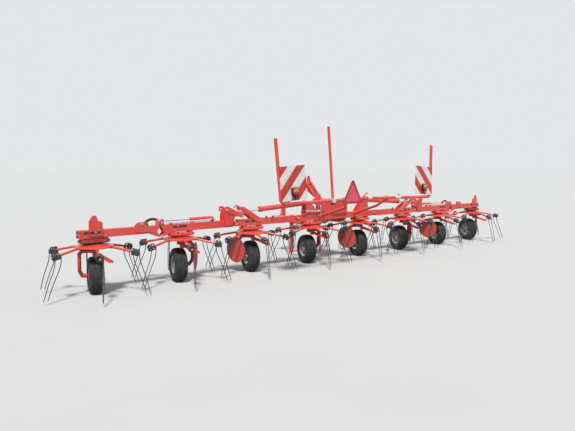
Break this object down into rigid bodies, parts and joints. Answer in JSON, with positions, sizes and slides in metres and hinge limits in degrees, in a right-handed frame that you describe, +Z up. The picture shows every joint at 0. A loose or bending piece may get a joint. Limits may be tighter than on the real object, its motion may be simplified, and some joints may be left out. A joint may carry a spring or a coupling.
{
  "type": "hay tedder",
  "caption": "Mounted rotary hay tedder: folding beams with tined rotors and a gauge wheel under each, a swivelling headstock and a rear sign frame.",
  "frame": {"origin": "on the ground under the middle of the machine's outer box", "axes": "+X to the right of travel, +Y forward towards the tractor, +Z up"},
  "size_m": [8.5332, 1.8453, 1.9194],
  "materials": {
    "red_paint": "satin",
    "dark_red_paint": "satin",
    "sign_face": "gloss",
    "lamp_lens": "gloss",
    "rod_chrome": "polished",
    "tine_steel": "satin",
    "tyre_rubber": "matte",
    "rim_paint": "satin"
  },
  "bodies": {
    "frame": {"centre_frame": "red_paint", "main_gearbox": "dark_red_paint", "sign_frame": "red_paint", "sign_boards": "sign_face", "lamps": "lamp_lens"},
    "headstock": {"headstock": "red_paint"},
    "stand": {"parking_stand": "red_paint"},
    "section_1": {"beam_1": "red_paint"},
    "section_2": {"beam_2": "red_paint"},
    "section_3": {"beam_3": "red_paint"},
    "section_6": {"beam_6": "red_paint"},
    "section_7": {"beam_7": "red_paint"},
    "section_8": {"beam_8": "red_paint"},
    "lift_barrel_left": {"lift_barrel_left": "red_paint"},
    "lift_rod_left": {"lift_rod_left": "rod_chrome"},
    "fold_rod_left": {"fold_rod_left": "rod_chrome"},
    "lift_barrel_right": {"lift_barrel_right": "red_paint"},
    "lift_rod_right": {"lift_rod_right": "rod_chrome"},
    "fold_rod_right": {"fold_rod_right": "rod_chrome"},
    "leg_1": {"leg_1": "red_paint"},
    "wheel_1": {"tyre_1": "tyre_rubber", "rim_1": "rim_paint"},
    "rotor_1": {"rotor_1": "red_paint", "tines_1": "tine_steel"},
    "leg_2": {"leg_2": "red_paint"},
    "wheel_2": {"tyre_2": "tyre_rubber", "rim_2": "rim_paint"},
    "rotor_2": {"rotor_2": "red_paint", "tines_2": "tine_steel"},
    "leg_3": {"leg_3": "red_paint"},
    "wheel_3": {"tyre_3": "tyre_rubber", "rim_3": "rim_paint"},
    "rotor_3": {"rotor_3": "red_paint", "tines_3": "tine_steel"},
    "leg_4": {"leg_4": "red_paint"},
    "wheel_4": {"tyre_4": "tyre_rubber", "rim_4": "rim_paint"},
    "rotor_4": {"rotor_4": "red_paint", "tines_4": "tine_steel"},
    "leg_5": {"leg_5": "red_paint"},
    "wheel_5": {"tyre_5": "tyre_rubber", "rim_5": "rim_paint"},
    "rotor_5": {"rotor_5": "red_paint", "tines_5": "tine_steel"},
    "leg_6": {"leg_6": "red_paint"},
    "wheel_6": {"tyre_6": "tyre_rubber", "rim_6": "rim_paint"},
    "rotor_6": {"rotor_6": "red_paint", "tines_6": "tine_steel"},
    "leg_7": {"leg_7": "red_paint"},
    "wheel_7": {"tyre_7": "tyre_rubber", "rim_7": "rim_paint"},
    "rotor_7": {"rotor_7": "red_paint", "tines_7": "tine_steel"},
    "leg_8": {"leg_8": "red_paint"},
    "wheel_8": {"tyre_8": "tyre_rubber", "rim_8": "rim_paint"},
    "rotor_8": {"rotor_8": "red_paint", "tines_8": "tine_steel"}
  },
  "joints": [
    {"name": "headstock_swivel", "type": "hinge", "parent": "frame", "child": "headstock", "pos_m": [0, 0.24155, 0.74], "axis": [0, 0, 1], "range_deg": [-4, 36]},
    {"name": "stand_slide", "type": "slide", "parent": "headstock", "child": "stand", "axis": [0, 0, 1], "range_m": [0, 0.28]},
    {"name": "wing_lift_left", "type": "hinge", "parent": "frame", "child": "section_3", "pos_m": [-0.8, -0.15845, 0.68], "axis": [0, 1, 0], "range_deg": [-5, 86]},
    {"name": "mid_float_left", "type": "hinge", "parent": "section_3", "child": "section_2", "pos_m": [-1.85, -0.15845, 0.662], "axis": [0, 1, 0], "range_deg": [-4, 4]},
    {"name": "outer_fold_left", "type": "hinge", "parent": "section_2", "child": "section_1", "pos_m": [-2.9, -0.15845, 0.74], "axis": [0, 1, 0], "range_deg": [-3, 178]},
    {"name": "lift_barrel_left", "type": "hinge", "parent": "frame", "child": "lift_barrel_left", "pos_m": [-0.6, -0.15845, 0.88], "axis": [0, 1, 0], "range_deg": [-4.92, 83.74]},
    {"name": "lift_rod_left", "type": "slide", "parent": "lift_barrel_left", "child": "lift_rod_left", "axis": [-0.9981, 0, -0.0614], "range_m": [-0.3838, 0.0228]},
    {"name": "fold_rod_left", "type": "slide", "parent": "section_2", "child": "fold_rod_left", "axis": [-1, 0, 0], "range_m": [-0.2005, 0.0039]},
    {"name": "wing_lift_right", "type": "hinge", "parent": "frame", "child": "section_6", "pos_m": [0.8, -0.15845, 0.68], "axis": [0, -1, 0], "range_deg": [-5, 86]},
    {"name": "mid_float_right", "type": "hinge", "parent": "section_6", "child": "section_7", "pos_m": [1.85, -0.15845, 0.662], "axis": [0, -1, 0], "range_deg": [-4, 4]},
    {"name": "outer_fold_right", "type": "hinge", "parent": "section_7", "child": "section_8", "pos_m": [2.9, -0.15845, 0.74], "axis": [0, -1, 0], "range_deg": [-3, 178]},
    {"name": "lift_barrel_right", "type": "hinge", "parent": "frame", "child": "lift_barrel_right", "pos_m": [0.6, -0.15845, 0.88], "axis": [0, -1, 0], "range_deg": [-4.92, 83.74]},
    {"name": "lift_rod_right", "type": "slide", "parent": "lift_barrel_right", "child": "lift_rod_right", "axis": [0.9981, 0, -0.0614], "range_m": [-0.3838, 0.0228]},
    {"name": "fold_rod_right", "type": "slide", "parent": "section_7", "child": "fold_rod_right", "axis": [1, 0, 0], "range_m": [-0.2005, 0.0039]},
    {"name": "leg_1_swivel", "type": "hinge", "parent": "section_1", "child": "leg_1", "pos_m": [-3.675, -0.15845, 0.5], "axis": [0, 0, 1], "range_deg": [0, 32]},
    {"name": "wheel_1_spin", "type": "hinge", "parent": "leg_1", "child": "wheel_1", "pos_m": [-3.64225, -0.09502, 0.205], "axis": [0.9613, -0.2756, 0], "continuous": true},
    {"name": "rotor_1_spin", "type": "hinge", "parent": "section_1", "child": "rotor_1", "pos_m": [-3.675, -0.15845, 0.54], "axis": [0, 0, 1], "continuous": true},
    {"name": "leg_2_swivel", "type": "hinge", "parent": "section_2", "child": "leg_2", "pos_m": [-2.625, -0.15845, 0.5], "axis": [0, 0, 1], "range_deg": [0, 32]},
    {"name": "wheel_2_spin", "type": "hinge", "parent": "leg_2", "child": "wheel_2", "pos_m": [-2.61916, -0.0873, 0.205], "axis": [0.9613, -0.2756, 0], "continuous": true},
    {"name": "rotor_2_spin", "type": "hinge", "parent": "section_2", "child": "rotor_2", "pos_m": [-2.625, -0.15845, 0.54], "axis": [0, 0, 1], "continuous": true},
    {"name": "leg_3_swivel", "type": "hinge", "parent": "section_3", "child": "leg_3", "pos_m": [-1.575, -0.15845, 0.5], "axis": [0, 0, 1], "range_deg": [0, 32]},
    {"name": "wheel_3_spin", "type": "hinge", "parent": "leg_3", "child": "wheel_3", "pos_m": [-1.54225, -0.09502, 0.205], "axis": [0.9613, -0.2756, 0], "continuous": true},
    {"name": "rotor_3_spin", "type": "hinge", "parent": "section_3", "child": "rotor_3", "pos_m": [-1.575, -0.15845, 0.54], "axis": [0, 0, 1], "continuous": true},
    {"name": "leg_4_swivel", "type": "hinge", "parent": "frame", "child": "leg_4", "pos_m": [-0.525, -0.15845, 0.5], "axis": [0, 0, 1], "range_deg": [0, 32]},
    {"name": "wheel_4_spin", "type": "hinge", "parent": "leg_4", "child": "wheel_4", "pos_m": [-0.51916, -0.0873, 0.205], "axis": [0.9613, -0.2756, 0], "continuous": true},
    {"name": "rotor_4_spin", "type": "hinge", "parent": "frame", "child": "rotor_4", "pos_m": [-0.525, -0.15845, 0.54], "axis": [0, 0, 1], "continuous": true},
    {"name": "leg_5_swivel", "type": "hinge", "parent": "frame", "child": "leg_5", "pos_m": [0.525, -0.15845, 0.5], "axis": [0, 0, 1], "range_deg": [0, 32]},
    {"name": "wheel_5_spin", "type": "hinge", "parent": "leg_5", "child": "wheel_5", "pos_m": [0.55775, -0.09502, 0.205], "axis": [0.9613, -0.2756, 0], "continuous": true},
    {"name": "rotor_5_spin", "type": "hinge", "parent": "frame", "child": "rotor_5", "pos_m": [0.525, -0.15845, 0.54], "axis": [0, 0, 1], "continuous": true},
    {"name": "leg_6_swivel", "type": "hinge", "parent": "section_6", "child": "leg_6", "pos_m": [1.575, -0.15845, 0.5], "axis": [0, 0, 1], "range_deg": [0, 32]},
    {"name": "wheel_6_spin", "type": "hinge", "parent": "leg_6", "child": "wheel_6", "pos_m": [1.58084, -0.0873, 0.205], "axis": [0.9613, -0.2756, 0], "continuous": true},
    {"name": "rotor_6_spin", "type": "hinge", "parent": "section_6", "child": "rotor_6", "pos_m": [1.575, -0.15845, 0.54], "axis": [0, 0, 1], "continuous": true},
    {"name": "leg_7_swivel", "type": "hinge", "parent": "section_7", "child": "leg_7", "pos_m": [2.625, -0.15845, 0.5], "axis": [0, 0, 1], "range_deg": [0, 32]},
    {"name": "wheel_7_spin", "type": "hinge", "parent": "leg_7", "child": "wheel_7", "pos_m": [2.65775, -0.09502, 0.205], "axis": [0.9613, -0.2756, 0], "continuous": true},
    {"name": "rotor_7_spin", "type": "hinge", "parent": "section_7", "child": "rotor_7", "pos_m": [2.625, -0.15845, 0.54], "axis": [0, 0, 1], "continuous": true},
    {"name": "leg_8_swivel", "type": "hinge", "parent": "section_8", "child": "leg_8", "pos_m": [3.675, -0.15845, 0.5], "axis": [0, 0, 1], "range_deg": [0, 32]},
    {"name": "wheel_8_spin", "type": "hinge", "parent": "leg_8", "child": "wheel_8", "pos_m": [3.68084, -0.0873, 0.205], "axis": [0.9613, -0.2756, 0], "continuous": true},
    {"name": "rotor_8_spin", "type": "hinge", "parent": "section_8", "child": "rotor_8", "pos_m": [3.675, -0.15845, 0.54], "axis": [0, 0, 1], "continuous": true}
  ],
  "couplings": [
    {"joint": "lift_barrel_left", "follows": "wing_lift_left", "ratio": 0.97309},
    {"joint": "lift_rod_left", "follows": "wing_lift_left", "m_per_rad": -0.25534},
    {"joint": "fold_rod_left", "follows": "outer_fold_left", "m_per_rad": -0.06438},
    {"joint": "lift_barrel_right", "follows": "wing_lift_right", "ratio": 0.97309},
    {"joint": "lift_rod_right", "follows": "wing_lift_right", "m_per_rad": -0.25534},
    {"joint": "fold_rod_right", "follows": "outer_fold_right", "m_per_rad": -0.06438},
    {"joint": "leg_2_swivel", "follows": "leg_1_swivel", "ratio": 1},
    {"joint": "leg_3_swivel", "follows": "leg_1_swivel", "ratio": 1},
    {"joint": "leg_4_swivel", "follows": "leg_1_swivel", "ratio": 1},
    {"joint": "leg_5_swivel", "follows": "leg_1_swivel", "ratio": 1},
    {"joint": "leg_6_swivel", "follows": "leg_1_swivel", "ratio": 1},
    {"joint": "leg_7_swivel", "follows": "leg_1_swivel", "ratio": 1},
    {"joint": "leg_8_swivel", "follows": "leg_1_swivel", "ratio": 1},
    {"joint": "rotor_1_spin", "follows": "rotor_4_spin", "ratio": -1},
    {"joint": "rotor_2_spin", "follows": "rotor_4_spin", "ratio": 1},
    {"joint": "rotor_3_spin", "follows": "rotor_4_spin", "ratio": -1},
    {"joint": "rotor_5_spin", "follows": "rotor_4_spin", "ratio": -1},
    {"joint": "rotor_6_spin", "follows": "rotor_4_spin", "ratio": 1},
    {"joint": "rotor_7_spin", "follows": "rotor_4_spin", "ratio": -1},
    {"joint": "rotor_8_spin", "follows": "rotor_4_spin", "ratio": 1}
  ]
}
